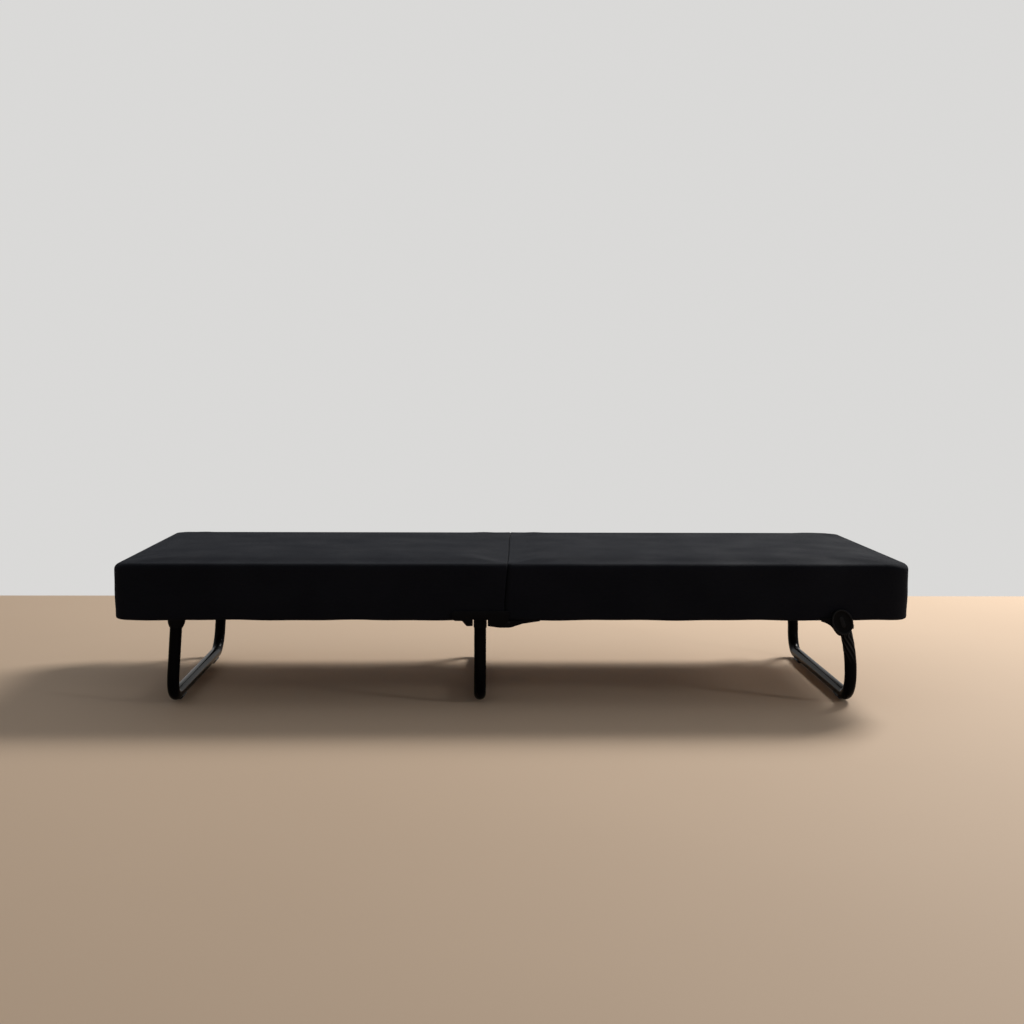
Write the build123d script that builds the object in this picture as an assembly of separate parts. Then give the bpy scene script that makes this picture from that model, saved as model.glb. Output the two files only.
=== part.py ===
from build123d import *
import math
import os

# A folding bed: two boxed pads on steel frames, hinged under their seam, on three U-shaped legs.
# Millimetres. The origin is on the floor under the middle of the bed, X runs along its length
# to the end with the knuckle caps, Y runs away from the front, Z is up.

# Whole bed
bed_length = 1830.0
seam_shift = -14.0
seam_gap = 0.6
hem_height = 207.0
fit_gap = 0.3
overrun = 20.0

# Pads: woven cover over a foam core
pad_half_width = 375.0
skirt_draw = 2.0
pad_rise = 131.0
pad_round = 16.0
seam_round = 4.0
pad_crown = 4.0
cover_wall = 2.5
foam_gap = 0.5
hem_flange = 25.0
hem_round = 7.0
seam_corner = 8.0
left_corner = 28.0
right_corner = 46.0
seam_hem_lift = 9.0
hinge_bay = 92.0
round_steps = 4
hem_steps = 2
inner_steps = 2
# Heights up the side as shares of its rise, each with the share of the skirt's draw left there
side_shares = ((0.2, 1.0), (0.45, 0.15), (0.62, 0.0))
# Reaches in from the rounded edge as shares of the half width, each with its share of the crown
crown_shares = ((0.22, 0.42), (0.5, 0.8), (0.8, 1.0))

# Frames of square tube
rail_side = 25.0
rail_wall = 1.5
rail_corner = 3.0
rail_end_gap = 2.0
rail_seam_margin = 16.0
end_tube_margin = 4.0
plug_flange = 2.0
plug_depth = 12.0
folded_leg_gap = 18.0

# Slats and their clip-on holders
slat_width = 44.0
slat_thickness = 8.0
slat_count = 10
slat_from_pivot = 17.0
slat_from_seam = 66.0
holder_base = 4.0
holder_wall = 4.0
holder_lip = 5.0
holder_lip_wall = 1.6
holder_lip_gap = 0.2

# Fold hinge
hinge_pin_drop = 4.0
hinge_pin_radius = 3.5
hinge_bore_gap = 0.05
hinge_lobe_radius = 12.5
hinge_plate_wall = 2.7
taper_wall = 2.4
hinge_arm_reach = 42.0
hinge_arm_root = 16.0
hinge_arm_low = 5.0
hinge_arm_top = 28.0
hinge_arm_round = 4.0
retainer_radius = 7.0
retainer_length = 3.0

# Tapered hinge plate of the right half, measured from the pin
taper_reach = 72.0
taper_start_drop = 12.0
taper_knee = 32.0
taper_knee_drop = 3.5
taper_end_rise = 2.5
taper_round = 30.0

# Cover plate over the hinge, outside the left skirt, measured from the seam and the hem
outer_plate_wall = 4.0
outer_plate_gap = 1.0
outer_plate_length = 131.0
outer_plate_top = 23.0
outer_plate_round = 10.5
outer_plate_edge = 1.0
tail_reach = 33.0
tail_top_drop = 0.8
tail_end_drop = 6.0
lobe_drop = 15.5
lobe_right = 4.0
lobe_left = 22.0
lobe_round = 30.0
ear_drop = 12.0
ear_width = 14.0
ear_round = 2.5
ear_shoulder = 11.0
notch_reach = 48.0
notch_width = 34.0
notch_top = 5.0
stud_radius = 5.0
stud_hole_gap = 0.6
near_stud_reach = 24.0
far_stud_reach = 114.0
outer_stud_rise = 12.0

# Legs: round tube bent to a U
tube_radius = 14.0
tube_wall = 1.5
leg_bend = 55.0
floor_gap = 3.5
leg_pivot_rise = 18.0
left_leg_inset = 137.0
left_splay_angle = 4.0
centre_leg_reach = 65.0
centre_splay_angle = 0.0
right_leg_inset = 153.0
right_splay_angle = 13.5
right_kink_height = 118.0
right_kink_radius = 380.0
leg_top_drop = 15.0

# Collars on the limbs
collar_depth = 31.6
collar_length = 41.0
collar_lip = 1.1
collar_flare = 20.6
collar_flare_drop = 20.0
collar_eye = 13.0
collar_step = 0.4
socket_gap = 0.05

# Pivots
axle_radius = 4.0
axle_gap = 0.05
axle_head_radius = 8.0
axle_head_length = 4.0
axle_head_edge = 1.0
axle_hold = 14.0
bush_wall = 2.0
washer_radius = 7.0
washer_wall = 1.9
stop_length = 8.0
stop_height = 18.0
stop_depth = 20.0
stop_gap = 1.0

# Floor glides
glide_wall = 2.5
glide_length = 46.0
glide_inset = 40.0
glide_flat = 14.0
glide_half_angle = 50.0

# Knuckle of the right leg: web plate, thumb lever and oval cap, measured from the cap's centre
knuckle_reach = 11.0
knuckle_drop = 19.0
knuckle_tilt_angle = 20.0
knuckle_plate_wall = 3.0
knuckle_plate_inset = 1.5
cap_half_length = 30.0
cap_half_width = 24.0
cap_wall = 6.0
cap_rim_height = 2.0
cap_rim_width = 4.0
cap_edge = 1.2
cap_boss_length = 26.0
cap_boss_width = 9.0
cap_boss_height = 1.4
cap_gap = 3.2
cap_post_radius = 3.0
upper_post_x = -6.0
upper_post_z = 15.0
lower_post_x = -14.0
lower_post_z = -1.0
web_reach = 47.0
web_top = 6.0
web_start_drop = 1.0
web_depth = 34.0
web_stud_x = -19.0
web_stud_z = 18.0
# The web's lower edge: shares of its reach, each with a share of its depth below the hem
web_edge_shares = ((0.7, 0.19), (0.5, 0.38), (0.3, 0.75), (0.08, 1.0))
lever_wall = 2.4
lever_pivot_x = 2.0
lever_pivot_z = -11.0
lever_pin_radius = 3.0
lever_bore_gap = 0.05
lever_eye = 8.0
lever_reach = 26.0
lever_tab = 11.0
lever_round = 2.5

# Places that follow from the sizes above
left_end = -bed_length / 2
right_end = bed_length / 2
pad_shoulder = hem_height + pad_rise
hinge_z = hem_height - hinge_pin_drop
leg_pivot_z = hem_height + leg_pivot_rise
skirt_outer = pad_half_width - skirt_draw
skirt_inner = skirt_outer - cover_wall
plate_layer = skirt_inner - fit_gap - taper_wall
rail_outer = plate_layer - fit_gap
rail_inner = rail_outer - rail_side
rail_centre_y = rail_outer - rail_side / 2
rail_centre_z = leg_pivot_z
rail_top = rail_centre_z + rail_side / 2
holder_outer = rail_outer + holder_lip_gap + holder_lip_wall
slat_low = rail_top + holder_base
deck_height = slat_low + slat_thickness
outer_layer = skirt_outer + outer_plate_gap
knuckle_face = outer_layer + knuckle_plate_wall
foot_z = tube_radius + floor_gap
collar_outer = rail_inner - washer_wall - fit_gap
leg_half_width = collar_outer - collar_depth / 2
collar_inner = collar_outer - collar_depth
left_pivot_x = left_end + left_leg_inset
centre_pivot_x = seam_shift - centre_leg_reach
right_pivot_x = right_end - right_leg_inset
leg_reach = leg_pivot_z - foot_z + tube_radius
knuckle_x = right_pivot_x - knuckle_reach
knuckle_z = leg_pivot_z - knuckle_drop
collar_plain = tube_radius + collar_lip
bush_radius = axle_radius + axle_gap + bush_wall


# Shared shapes


def facing(depth):
    """The plane that faces the front, at a depth in front of the bed's middle."""
    return Plane(origin=(0, -depth, 0), x_dir=(1, 0, 0), z_dir=(0, -1, 0))


def plate(outline, depth, wall):
    """A flat plate on the front side, from an outline in X and Z."""
    return extrude(facing(depth) * outline, amount=wall)


def rod(x, z, depth, length, radius):
    """A round bar along Y on the front side."""
    return plate(Pos(x, z) * Circle(radius), depth, length)


def outline(points, radii):
    """A closed outline with rounded corners."""
    return make_face(FilletPolyline(*points, radius=radii, close=True))


def front_and_rear(solid):
    """The same solid at the front and, mirrored, at the rear."""
    return [solid, mirror(solid, about=Plane.XZ)]


def block(x_low, x_high, y_low, y_high, z_low, z_high):
    """A box between its limits."""
    size = (x_high - x_low, y_high - y_low, z_high - z_low)
    centre = ((x_low + x_high) / 2, (y_low + y_high) / 2, (z_low + z_high) / 2)
    return Pos(*centre) * Box(*size)


def save(name, solids):
    """Write one node."""
    export_step(Compound(list(solids)), os.path.join("parts", name + ".step"))


# Pads


def pad_stations(inset, base):
    """Heights up a pad, each with how far its side is drawn in there."""
    rise = pad_shoulder - hem_height
    stations = [(base, skirt_draw)]
    if base == hem_height:
        stations = []
        for step in range(hem_steps + 1):
            turn = math.pi / 2 * step / hem_steps
            height = hem_height + hem_round * (1 - math.cos(turn))
            stations.append((height, skirt_draw + hem_round * (1 - math.sin(turn))))
    for rise_share, draw_share in side_shares:
        height = hem_height + rise * rise_share
        if height > base:
            stations.append((height, skirt_draw * draw_share))
    steps = inner_steps if inset else round_steps
    for step in range(steps + 1):
        turn = math.pi / 2 * step / steps
        height = pad_shoulder - inset - pad_round * (1 - math.sin(turn))
        stations.append((height, pad_round * (1 - math.cos(turn))))
    for reach_share, rise_share in crown_shares:
        reach = (pad_half_width - pad_round) * reach_share
        stations.append((pad_shoulder - inset + pad_crown * rise_share, pad_round + reach))
    return stations


def pad_form(end_x, end_corner, inset, base):
    """A boxed pad from its end to the seam, with drawn-in sides, a rounded top edge and a crown."""
    side = 1 if end_x > seam_shift else -1
    seam_x = seam_shift + side * seam_gap / 2
    crown_scale = (abs(end_x - seam_x) / 2 - pad_round) / (pad_half_width - pad_round)
    faces = []
    for height, draw in pad_stations(inset, base):
        edge_draw = min(draw, pad_round)
        crown_draw = (draw - edge_draw) * crown_scale
        far = end_x - side * (inset + edge_draw + crown_draw)
        near = seam_x + side * (inset + edge_draw * seam_round / pad_round + crown_draw)
        half = pad_half_width - inset - draw
        corners = ((near, -half, height), (far, -half, height), (far, half, height), (near, half, height))
        faces.append(outline(corners, (seam_corner, end_corner, end_corner, seam_corner)))
    return loft(faces, ruled=True)


def cover(end_x, end_corner, holes):
    """A woven cover: top, sides and a hem turned in under the rails, open over the hinge."""
    side = 1 if end_x > seam_shift else -1
    shell = pad_form(end_x, end_corner, 0, hem_height)
    shell -= pad_form(end_x, end_corner, cover_wall, hem_height + cover_wall)
    mouth_half = skirt_inner - hem_flange
    mouth_ends = sorted((seam_shift + side * hem_flange, end_x - side * (skirt_draw + cover_wall + hem_flange)))
    mouth_top = hem_height + cover_wall + overrun
    shell -= block(*mouth_ends, -mouth_half, mouth_half, hem_height - overrun, mouth_top)
    bay_ends = sorted((seam_shift - side * overrun, seam_shift + side * hinge_bay))
    shell -= block(*bay_ends, -skirt_inner, skirt_inner, hem_height - overrun, hem_height + seam_hem_lift)
    for x, z in holes:
        hole = rod(x, z, skirt_inner - overrun, cover_wall + 2 * overrun, stud_radius + stud_hole_gap)
        for solid in front_and_rear(hole):
            shell -= solid
    return shell


def foam_core(end_x, end_corner):
    """The foam block that fills a cover down to the slats."""
    return pad_form(end_x, end_corner, cover_wall + foam_gap, deck_height)


# Frames


def square_section():
    """Square tube seen end on."""
    inner = rail_side - 2 * rail_wall
    outer_face = RectangleRounded(rail_side, rail_side, rail_corner)
    return outer_face - RectangleRounded(inner, inner, rail_corner - rail_wall)


def side_rails(x_low, x_high, holes, hole_depth):
    """The front and rear rails of one half, with holes for the leg axles."""
    start = Plane(origin=(x_low, -rail_centre_y, rail_centre_z), x_dir=(0, 1, 0), z_dir=(1, 0, 0))
    rail = extrude(start * square_section(), amount=x_high - x_low)
    for x in holes:
        rail -= rod(x, leg_pivot_z, rail_inner - overrun, overrun + hole_depth, axle_radius + axle_gap)
    return front_and_rear(rail)


def cross_tube(x, half_length):
    """A square tube across one half."""
    start = Plane(origin=(x, -half_length, rail_centre_z), x_dir=(1, 0, 0), z_dir=(0, 1, 0))
    return extrude(start * square_section(), amount=2 * half_length)


def rail_plug(x, side):
    """A push-in plug in a rail's open end: its flange lies outside, on the side given."""
    inner = rail_side - 2 * (rail_wall + fit_gap)
    end = Plane(origin=(x, -rail_centre_y, rail_centre_z), x_dir=(0, 1, 0), z_dir=(side, 0, 0))
    flange = extrude(end * RectangleRounded(rail_side, rail_side, rail_corner), amount=plug_flange)
    stub = extrude(end * RectangleRounded(inner, inner, rail_corner / 2), amount=-plug_depth)
    return flange + stub


# Slats


def slat_places(pivot_x, side):
    """Slat centres of one half: the first lies just outside the end leg's pivot."""
    first = pivot_x + side * slat_from_pivot
    last = seam_shift + side * slat_from_seam
    return [first + (last - first) * step / (slat_count - 1) for step in range(slat_count)]


def slat(x):
    """One flat wooden slat across the bed."""
    half_width = slat_width / 2
    half_length = holder_outer - holder_wall - fit_gap
    return block(x - half_width, x + half_width, -half_length, half_length, slat_low, deck_height)


def slat_holder(x):
    """A plastic cradle for a slat's end, seated on the rail and hooked over its outer edge."""
    half_width = slat_width / 2 + fit_gap + holder_wall
    cradle = block(x - half_width, x + half_width, -holder_outer, -rail_inner, rail_top, deck_height)
    pocket_half = slat_width / 2 + fit_gap
    pocket_far = holder_outer - holder_wall
    pocket_ends = (x - pocket_half, x + pocket_half)
    cradle -= block(*pocket_ends, -pocket_far, -rail_inner + overrun, slat_low, deck_height + overrun)
    lip_inner = rail_outer + holder_lip_gap
    cradle += block(x - half_width, x + half_width, -holder_outer, -lip_inner, rail_top - holder_lip, slat_low)
    return cradle


# Fold hinge


def inner_hinge_plate():
    """Plate of the left half, welded to the rail's inner face, with the pin's eye."""
    x = seam_shift
    z = hinge_z
    points = (
        (x, z - hinge_lobe_radius),
        (x - hinge_arm_root, z + hinge_arm_low),
        (x - hinge_arm_reach, z + hinge_arm_low),
        (x - hinge_arm_reach, z + hinge_arm_top),
        (x - hinge_arm_root, z + hinge_arm_top),
        (x - hinge_arm_root, z + hinge_lobe_radius),
        (x, z + hinge_lobe_radius),
    )
    radii = (0, hinge_arm_round, hinge_arm_round, hinge_arm_round, hinge_arm_round, 0, 0)
    face = outline(points, radii) + Pos(x, z) * Circle(hinge_lobe_radius)
    face -= Pos(x, z) * Circle(hinge_pin_radius + hinge_bore_gap)
    return plate(face, rail_inner - hinge_plate_wall, hinge_plate_wall)


def tapered_hinge_plate():
    """Plate of the right half, along the rail's outer face, tapering away from the pin."""
    x = seam_shift
    z = hinge_z
    points = (
        (x, z - taper_start_drop),
        (x + taper_knee, z - taper_knee_drop),
        (x + taper_reach, z + taper_end_rise),
        (x + taper_reach, z + hinge_arm_top),
        (x + hinge_arm_root, z + hinge_arm_top),
        (x + hinge_arm_root, z + hinge_lobe_radius),
        (x, z + hinge_lobe_radius),
    )
    radii = (0, taper_round, hinge_arm_round / 2, hinge_arm_round, hinge_arm_round, 0, 0)
    face = outline(points, radii) + Pos(x, z) * Circle(hinge_lobe_radius)
    face -= Pos(x, z) * Circle(hinge_pin_radius + hinge_bore_gap)
    return plate(face, plate_layer, taper_wall)


def outer_hinge_plate():
    """Pressed plate outside the left skirt: rounded end, two ears round the limb, lobe at the pin."""
    x = seam_shift
    h = hem_height
    notch_left = x - notch_reach - notch_width
    points = (
        (x - outer_plate_length, h + outer_plate_top),
        (x, h + outer_plate_top),
        (x, h - tail_top_drop),
        (x + tail_reach, h - tail_top_drop),
        (x + tail_reach, h - tail_end_drop),
        (x + lobe_right, h - lobe_drop),
        (x - lobe_left, h - lobe_drop),
        (x - notch_reach, h - ear_drop),
        (x - notch_reach, h + notch_top),
        (notch_left, h + notch_top),
        (notch_left, h - ear_drop),
        (notch_left - ear_width, h - ear_drop),
        (notch_left - ear_width - ear_shoulder, h),
        (x - outer_plate_length, h),
    )
    r = ear_round
    radii = (outer_plate_round, r, 0, r / 2, r, lobe_round, lobe_round, r, r, r, r, r, r, outer_plate_round)
    face = outline(points, radii)
    face -= Pos(x, hinge_z) * Circle(hinge_pin_radius + hinge_bore_gap)
    solid = plate(face, outer_layer, outer_plate_wall)
    rim = solid.faces().sort_by(Axis.Y)[0].outer_wire().edges()
    return chamfer(rim, outer_plate_edge)


def outer_studs():
    """Studs that carry the outer hinge plate from the rail, through the skirt."""
    solids = []
    for reach in (near_stud_reach, far_stud_reach):
        stud = rod(seam_shift - reach, hem_height + outer_stud_rise, rail_outer, outer_layer - rail_outer, stud_radius)
        solids += front_and_rear(stud)
    return solids


def hinge_pin():
    """The pin of the fold hinge, through all three plates."""
    inner_end = rail_inner - hinge_plate_wall - retainer_length
    length = outer_layer + outer_plate_wall - inner_end
    return rod(seam_shift, hinge_z, inner_end, length, hinge_pin_radius)


def hinge_retainer():
    """The push-on ring at the pin's inner end."""
    depth = rail_inner - hinge_plate_wall - retainer_length
    ring = Circle(retainer_radius) - Circle(hinge_pin_radius + hinge_bore_gap)
    return plate(Pos(seam_shift, hinge_z) * ring, depth, retainer_length)


# Legs


def splay_shift(splay, drop):
    """How far a splayed limb moves along X over a drop: positive splay is towards the left."""
    return -drop * math.tan(math.radians(splay))


def leg_tube(pivot_x, splay, kink_height=0):
    """One tube bent to a U: two limbs and the foot between them."""
    top_z = leg_pivot_z - leg_top_drop * math.cos(math.radians(splay))
    top_x = pivot_x - leg_top_drop * math.sin(math.radians(splay))
    straight_end = kink_height if kink_height else foot_z
    foot_x = pivot_x + splay_shift(splay, leg_pivot_z - straight_end)
    limb = [(top_x, top_z)]
    radii = [leg_bend]
    if kink_height:
        limb.append((foot_x, kink_height))
        radii.insert(0, right_kink_radius)
    limb.append((foot_x, foot_z))
    points = [(x, -leg_half_width, z) for x, z in limb]
    points += [(x, leg_half_width, z) for x, z in reversed(limb)]
    path = FilletPolyline(*points, radius=radii + radii[::-1])
    section = Circle(tube_radius) - Circle(tube_radius - tube_wall)
    return sweep(Plane(origin=path @ 0, z_dir=path % 0) * section, path=path)


def collar(pivot_x, splay, flare):
    """The knuckle on a limb's top end: an eye for the bush over a socket that flares at the hem."""
    depth_half = collar_depth / 2
    lip = Plane.XY.offset(-collar_length) * Circle(collar_plain)
    belly = Plane.XY.offset(-collar_flare_drop) * Ellipse(flare, depth_half - collar_step)
    neck = Plane.XY * Ellipse(collar_eye - collar_step, depth_half - collar_step)
    body = loft([lip, belly, neck])
    eye_plane = Plane(origin=(0, depth_half, 0), x_dir=(1, 0, 0), z_dir=(0, -1, 0))
    body += extrude(eye_plane * Circle(collar_eye), amount=collar_depth)
    eye_start = Plane(origin=(0, depth_half + overrun, 0), x_dir=(1, 0, 0), z_dir=(0, -1, 0))
    body -= extrude(eye_start * Circle(bush_radius + socket_gap), amount=collar_depth + 2 * overrun)
    socket_top = -leg_top_drop + socket_gap
    socket = Plane.XY.offset(socket_top) * Circle(tube_radius + socket_gap)
    body -= extrude(socket, amount=-(collar_length + overrun))
    return Pos(pivot_x, -leg_half_width, leg_pivot_z) * Rot(0, splay, 0) * body


def leg_bush(pivot_x):
    """The plastic bush pressed into a collar's eye."""
    ring = Circle(bush_radius) - Circle(axle_radius + axle_gap)
    return plate(Pos(pivot_x, leg_pivot_z) * ring, collar_inner, collar_depth)


def leg_axle(pivot_x, outer_end):
    """A shoulder bolt along Y: head inside the collar, shank into or through the rail."""
    head_start = collar_inner - fit_gap - axle_head_length
    head = rod(pivot_x, leg_pivot_z, head_start, axle_head_length, axle_head_radius)
    head = chamfer(head.faces().sort_by(Axis.Y)[-1].edges(), axle_head_edge)
    shank_start = collar_inner - fit_gap
    return head + rod(pivot_x, leg_pivot_z, shank_start, outer_end - shank_start, axle_radius)


def leg_washer(pivot_x):
    """The spacer washer between collar and rail."""
    ring = Circle(washer_radius) - Circle(axle_radius + axle_gap)
    return plate(Pos(pivot_x, leg_pivot_z) * ring, rail_inner - washer_wall, washer_wall)


def end_leg_stop(pivot_x, splay, side):
    """The block welded to the rail that an open end leg's collar leans on, on its outer side."""
    turn = math.radians(abs(splay))
    reach = collar_flare * math.cos(turn) + collar_flare_drop * math.sin(turn) + stop_gap
    x_low, x_high = sorted((pivot_x + side * reach, pivot_x + side * (reach + stop_length)))
    z_low = leg_pivot_z - stop_height
    return block(x_low, x_high, -rail_inner, -rail_inner + stop_depth, z_low, leg_pivot_z)


def centre_leg_stop():
    """The pad on the seam tube that the open centre leg's collar leans on."""
    x_low = centre_pivot_x + collar_plain + fit_gap
    x_high = seam_shift - rail_seam_margin - rail_side
    y_far = collar_outer - collar_lip
    return block(x_low, x_high, -y_far, -y_far + stop_depth, rail_centre_z - rail_side / 2, rail_centre_z)


def leg_glide(foot_x):
    """A clip-on glide under the foot tube, with a flat sole."""
    spread = math.radians(glide_half_angle)
    reach = 2 * tube_radius
    wedge = Polygon((0, 0), (-reach * math.sin(spread), -reach * math.cos(spread)),
                    (reach * math.sin(spread), -reach * math.cos(spread)), align=None)
    saddle = Circle(tube_radius + glide_wall) & wedge
    sole = Pos(0, -foot_z / 2) * Rectangle(glide_flat, foot_z)
    face = saddle + sole - Circle(tube_radius + socket_gap)
    depth = leg_half_width - leg_bend - glide_inset - glide_length / 2
    return plate(Pos(foot_x, foot_z) * face, depth, glide_length)


# Knuckle of the right leg


def knuckle_oval(inset):
    """The cap's oval in X and Z, tilted, set in by an amount."""
    oval = Ellipse(cap_half_width - inset, cap_half_length - inset)
    return Pos(knuckle_x, knuckle_z) * Rot(0, 0, knuckle_tilt_angle) * oval


def knuckle_plate():
    """The plate behind the cap, with the curved web that runs up to the hem."""
    web_left = knuckle_x - web_reach
    low_edge = [(web_left, hem_height - web_start_drop)]
    for reach_share, depth_share in web_edge_shares:
        low_edge.append((knuckle_x - web_reach * reach_share, hem_height - web_depth * depth_share))
    low_edge.append((knuckle_x, hem_height - web_depth))
    edge = Spline(*low_edge)
    rest = Polyline(low_edge[-1], (knuckle_x, hem_height + web_top), (web_left, hem_height + web_top), low_edge[0])
    face = make_face(edge + rest) + knuckle_oval(knuckle_plate_inset)
    face -= Pos(right_pivot_x, leg_pivot_z) * Circle(axle_radius + axle_gap)
    return plate(face, outer_layer, knuckle_plate_wall)


def knuckle_cap():
    """The oval cap: a raised rim round a sunk field with a plain rib, on two posts."""
    face_depth = knuckle_face + cap_gap
    body = plate(knuckle_oval(0), face_depth, cap_wall)
    body += plate(knuckle_oval(0) - knuckle_oval(cap_rim_width), face_depth, cap_wall + cap_rim_height)
    body = fillet(body.faces().sort_by(Axis.Y)[0].edges(), cap_edge)
    rib = Rot(0, 0, knuckle_tilt_angle) * SlotOverall(cap_boss_length, cap_boss_width, rotation=90)
    body += plate(Pos(knuckle_x, knuckle_z) * rib, face_depth, cap_wall + cap_boss_height)
    for x, z in ((upper_post_x, upper_post_z), (lower_post_x, lower_post_z)):
        body += rod(knuckle_x + x, knuckle_z + z, knuckle_face, cap_gap, cap_post_radius)
    return body


def lever_pin():
    """The pin that the thumb lever turns on, between web plate and cap."""
    return rod(knuckle_x + lever_pivot_x, knuckle_z + lever_pivot_z, knuckle_face, cap_gap, lever_pin_radius)


def thumb_lever():
    """The thumb lever: an eye behind the cap and a tab that stands out on its right."""
    tab = Pos(lever_reach / 2, 0) * Rectangle(lever_reach, lever_tab)
    tab = fillet(tab.vertices(), lever_round)
    face = tab + Circle(lever_eye) - Circle(lever_pin_radius + lever_bore_gap)
    place = Pos(knuckle_x + lever_pivot_x, knuckle_z + lever_pivot_z)
    return plate(place * face, knuckle_face + fit_gap, lever_wall)


def web_stud():
    """The stud that carries the web plate from the rail, through the skirt."""
    length = outer_layer - rail_outer
    return rod(knuckle_x + web_stud_x, knuckle_z + web_stud_z, rail_outer, length, stud_radius)


# The bed put together


def save_half(name, end_x, end_corner, pivots, hole_depth, mid_tubes, holes):
    """One half: pad, frame and slats. The first pivot is the end leg's."""
    side = 1 if end_x > seam_shift else -1
    save(name + "_cover", [cover(end_x, end_corner, holes)])
    save(name + "_foam_core", [foam_core(end_x, end_corner)])
    corner_bite = end_corner - math.sqrt(end_corner**2 - (end_corner - skirt_inner + rail_outer) ** 2)
    rail_end = end_x - side * (skirt_draw + cover_wall + corner_bite + plug_flange + rail_end_gap)
    rail_seam = seam_shift + side * rail_seam_margin
    rail_limits = sorted((rail_end, rail_seam))
    save(name + "_side_rails", side_rails(*rail_limits, pivots, hole_depth))
    end_tube_x = rail_end - side * (rail_side / 2 + end_tube_margin)
    seam_tube_x = rail_seam + side * rail_side / 2
    seam_tube_half = rail_inner - (hinge_plate_wall if side < 0 else 0)
    tubes = [cross_tube(x, rail_inner) for x in (end_tube_x,) + mid_tubes]
    tubes.append(cross_tube(seam_tube_x, seam_tube_half))
    save(name + "_cross_tubes", tubes)
    plugs = front_and_rear(rail_plug(rail_end, side)) + front_and_rear(rail_plug(rail_seam, -side))
    save(name + "_rail_plugs", plugs)
    places = slat_places(pivots[0], side)
    save(name + "_slats", [slat(x) for x in places])
    holders = []
    for x in places:
        holders += front_and_rear(slat_holder(x))
    save(name + "_slat_holders", holders)


def save_leg(name, pivot_x, splay, flare, stop, axle_end, kink_height=0):
    """One leg with its pivots."""
    straight_end = kink_height if kink_height else foot_z
    foot_x = pivot_x + splay_shift(splay, leg_pivot_z - straight_end)
    save(name + "_leg_tube", [leg_tube(pivot_x, splay, kink_height)])
    save(name + "_leg_collars", front_and_rear(collar(pivot_x, splay, flare)))
    save(name + "_leg_bushes", front_and_rear(leg_bush(pivot_x)))
    save(name + "_leg_glides", front_and_rear(leg_glide(foot_x)))
    save(name + "_leg_axles", front_and_rear(leg_axle(pivot_x, axle_end)))
    save(name + "_leg_washers", front_and_rear(leg_washer(pivot_x)))
    save(name + "_leg_stops", front_and_rear(stop))


os.makedirs("parts", exist_ok=True)

stud_hole_z = hem_height + outer_stud_rise
outer_stud_holes = [(seam_shift - near_stud_reach, stud_hole_z), (seam_shift - far_stud_reach, stud_hole_z)]
knuckle_holes = [(knuckle_x + web_stud_x, knuckle_z + web_stud_z), (right_pivot_x, leg_pivot_z)]
left_pivots = (left_pivot_x, centre_pivot_x)
right_pivots = (right_pivot_x,)
folded_reach = leg_reach + folded_leg_gap + rail_side / 2
left_mid_tubes = (left_pivot_x + folded_reach, centre_pivot_x - folded_reach)
right_mid_tubes = (right_pivot_x - folded_reach, 2 * seam_shift - centre_pivot_x + folded_reach)
short_axle_end = rail_inner + axle_hold
long_axle_end = knuckle_face

save_half("left", left_end, left_corner, left_pivots, rail_side / 2, left_mid_tubes, outer_stud_holes)
save_half("right", right_end, right_corner, right_pivots, rail_side + overrun, right_mid_tubes, knuckle_holes)
left_stop = end_leg_stop(left_pivot_x, left_splay_angle, -1)
right_stop = end_leg_stop(right_pivot_x, right_splay_angle, 1)
save_leg("left", left_pivot_x, left_splay_angle, collar_flare, left_stop, short_axle_end)
save_leg("centre", centre_pivot_x, centre_splay_angle, collar_plain, centre_leg_stop(), short_axle_end)
save_leg("right", right_pivot_x, -right_splay_angle, collar_flare, right_stop, long_axle_end, right_kink_height)

save("hinge_inner_plates", front_and_rear(inner_hinge_plate()))
save("hinge_tapered_plates", front_and_rear(tapered_hinge_plate()))
save("hinge_outer_plates", front_and_rear(outer_hinge_plate()))
save("hinge_outer_studs", outer_studs())
save("hinge_pins", front_and_rear(hinge_pin()))
save("hinge_retainers", front_and_rear(hinge_retainer()))

save("knuckle_plates", front_and_rear(knuckle_plate()))
save("knuckle_caps", front_and_rear(knuckle_cap()))
save("knuckle_studs", front_and_rear(web_stud()))
save("lever_pins", front_and_rear(lever_pin()))
front_lever, rear_lever = front_and_rear(thumb_lever())
save("front_thumb_lever", [front_lever])
save("rear_thumb_lever", [rear_lever])
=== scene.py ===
"""Looks of a folding bed: two boxed fabric pads on steel frames, on three U-shaped fold-in legs.

Metres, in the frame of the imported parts: the origin is on the floor under the middle of the bed,
X runs along the bed to the end with the knuckle caps, Y away from the front, Z up.
"""
import math

import bpy
import numpy as np
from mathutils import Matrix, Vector


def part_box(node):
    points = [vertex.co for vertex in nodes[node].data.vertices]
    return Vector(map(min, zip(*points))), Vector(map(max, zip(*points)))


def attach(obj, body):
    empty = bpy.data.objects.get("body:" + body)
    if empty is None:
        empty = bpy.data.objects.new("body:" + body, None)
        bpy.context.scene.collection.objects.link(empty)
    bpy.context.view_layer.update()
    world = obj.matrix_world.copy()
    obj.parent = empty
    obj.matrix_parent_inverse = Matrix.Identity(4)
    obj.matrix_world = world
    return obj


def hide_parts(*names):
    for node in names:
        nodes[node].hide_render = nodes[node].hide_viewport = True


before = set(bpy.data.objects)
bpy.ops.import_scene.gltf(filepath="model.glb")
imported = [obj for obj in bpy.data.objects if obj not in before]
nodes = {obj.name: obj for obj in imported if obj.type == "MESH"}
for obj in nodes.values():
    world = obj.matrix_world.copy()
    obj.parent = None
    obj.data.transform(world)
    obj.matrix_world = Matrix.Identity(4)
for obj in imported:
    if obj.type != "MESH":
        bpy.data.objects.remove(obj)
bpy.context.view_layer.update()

mm = 0.001


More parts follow.
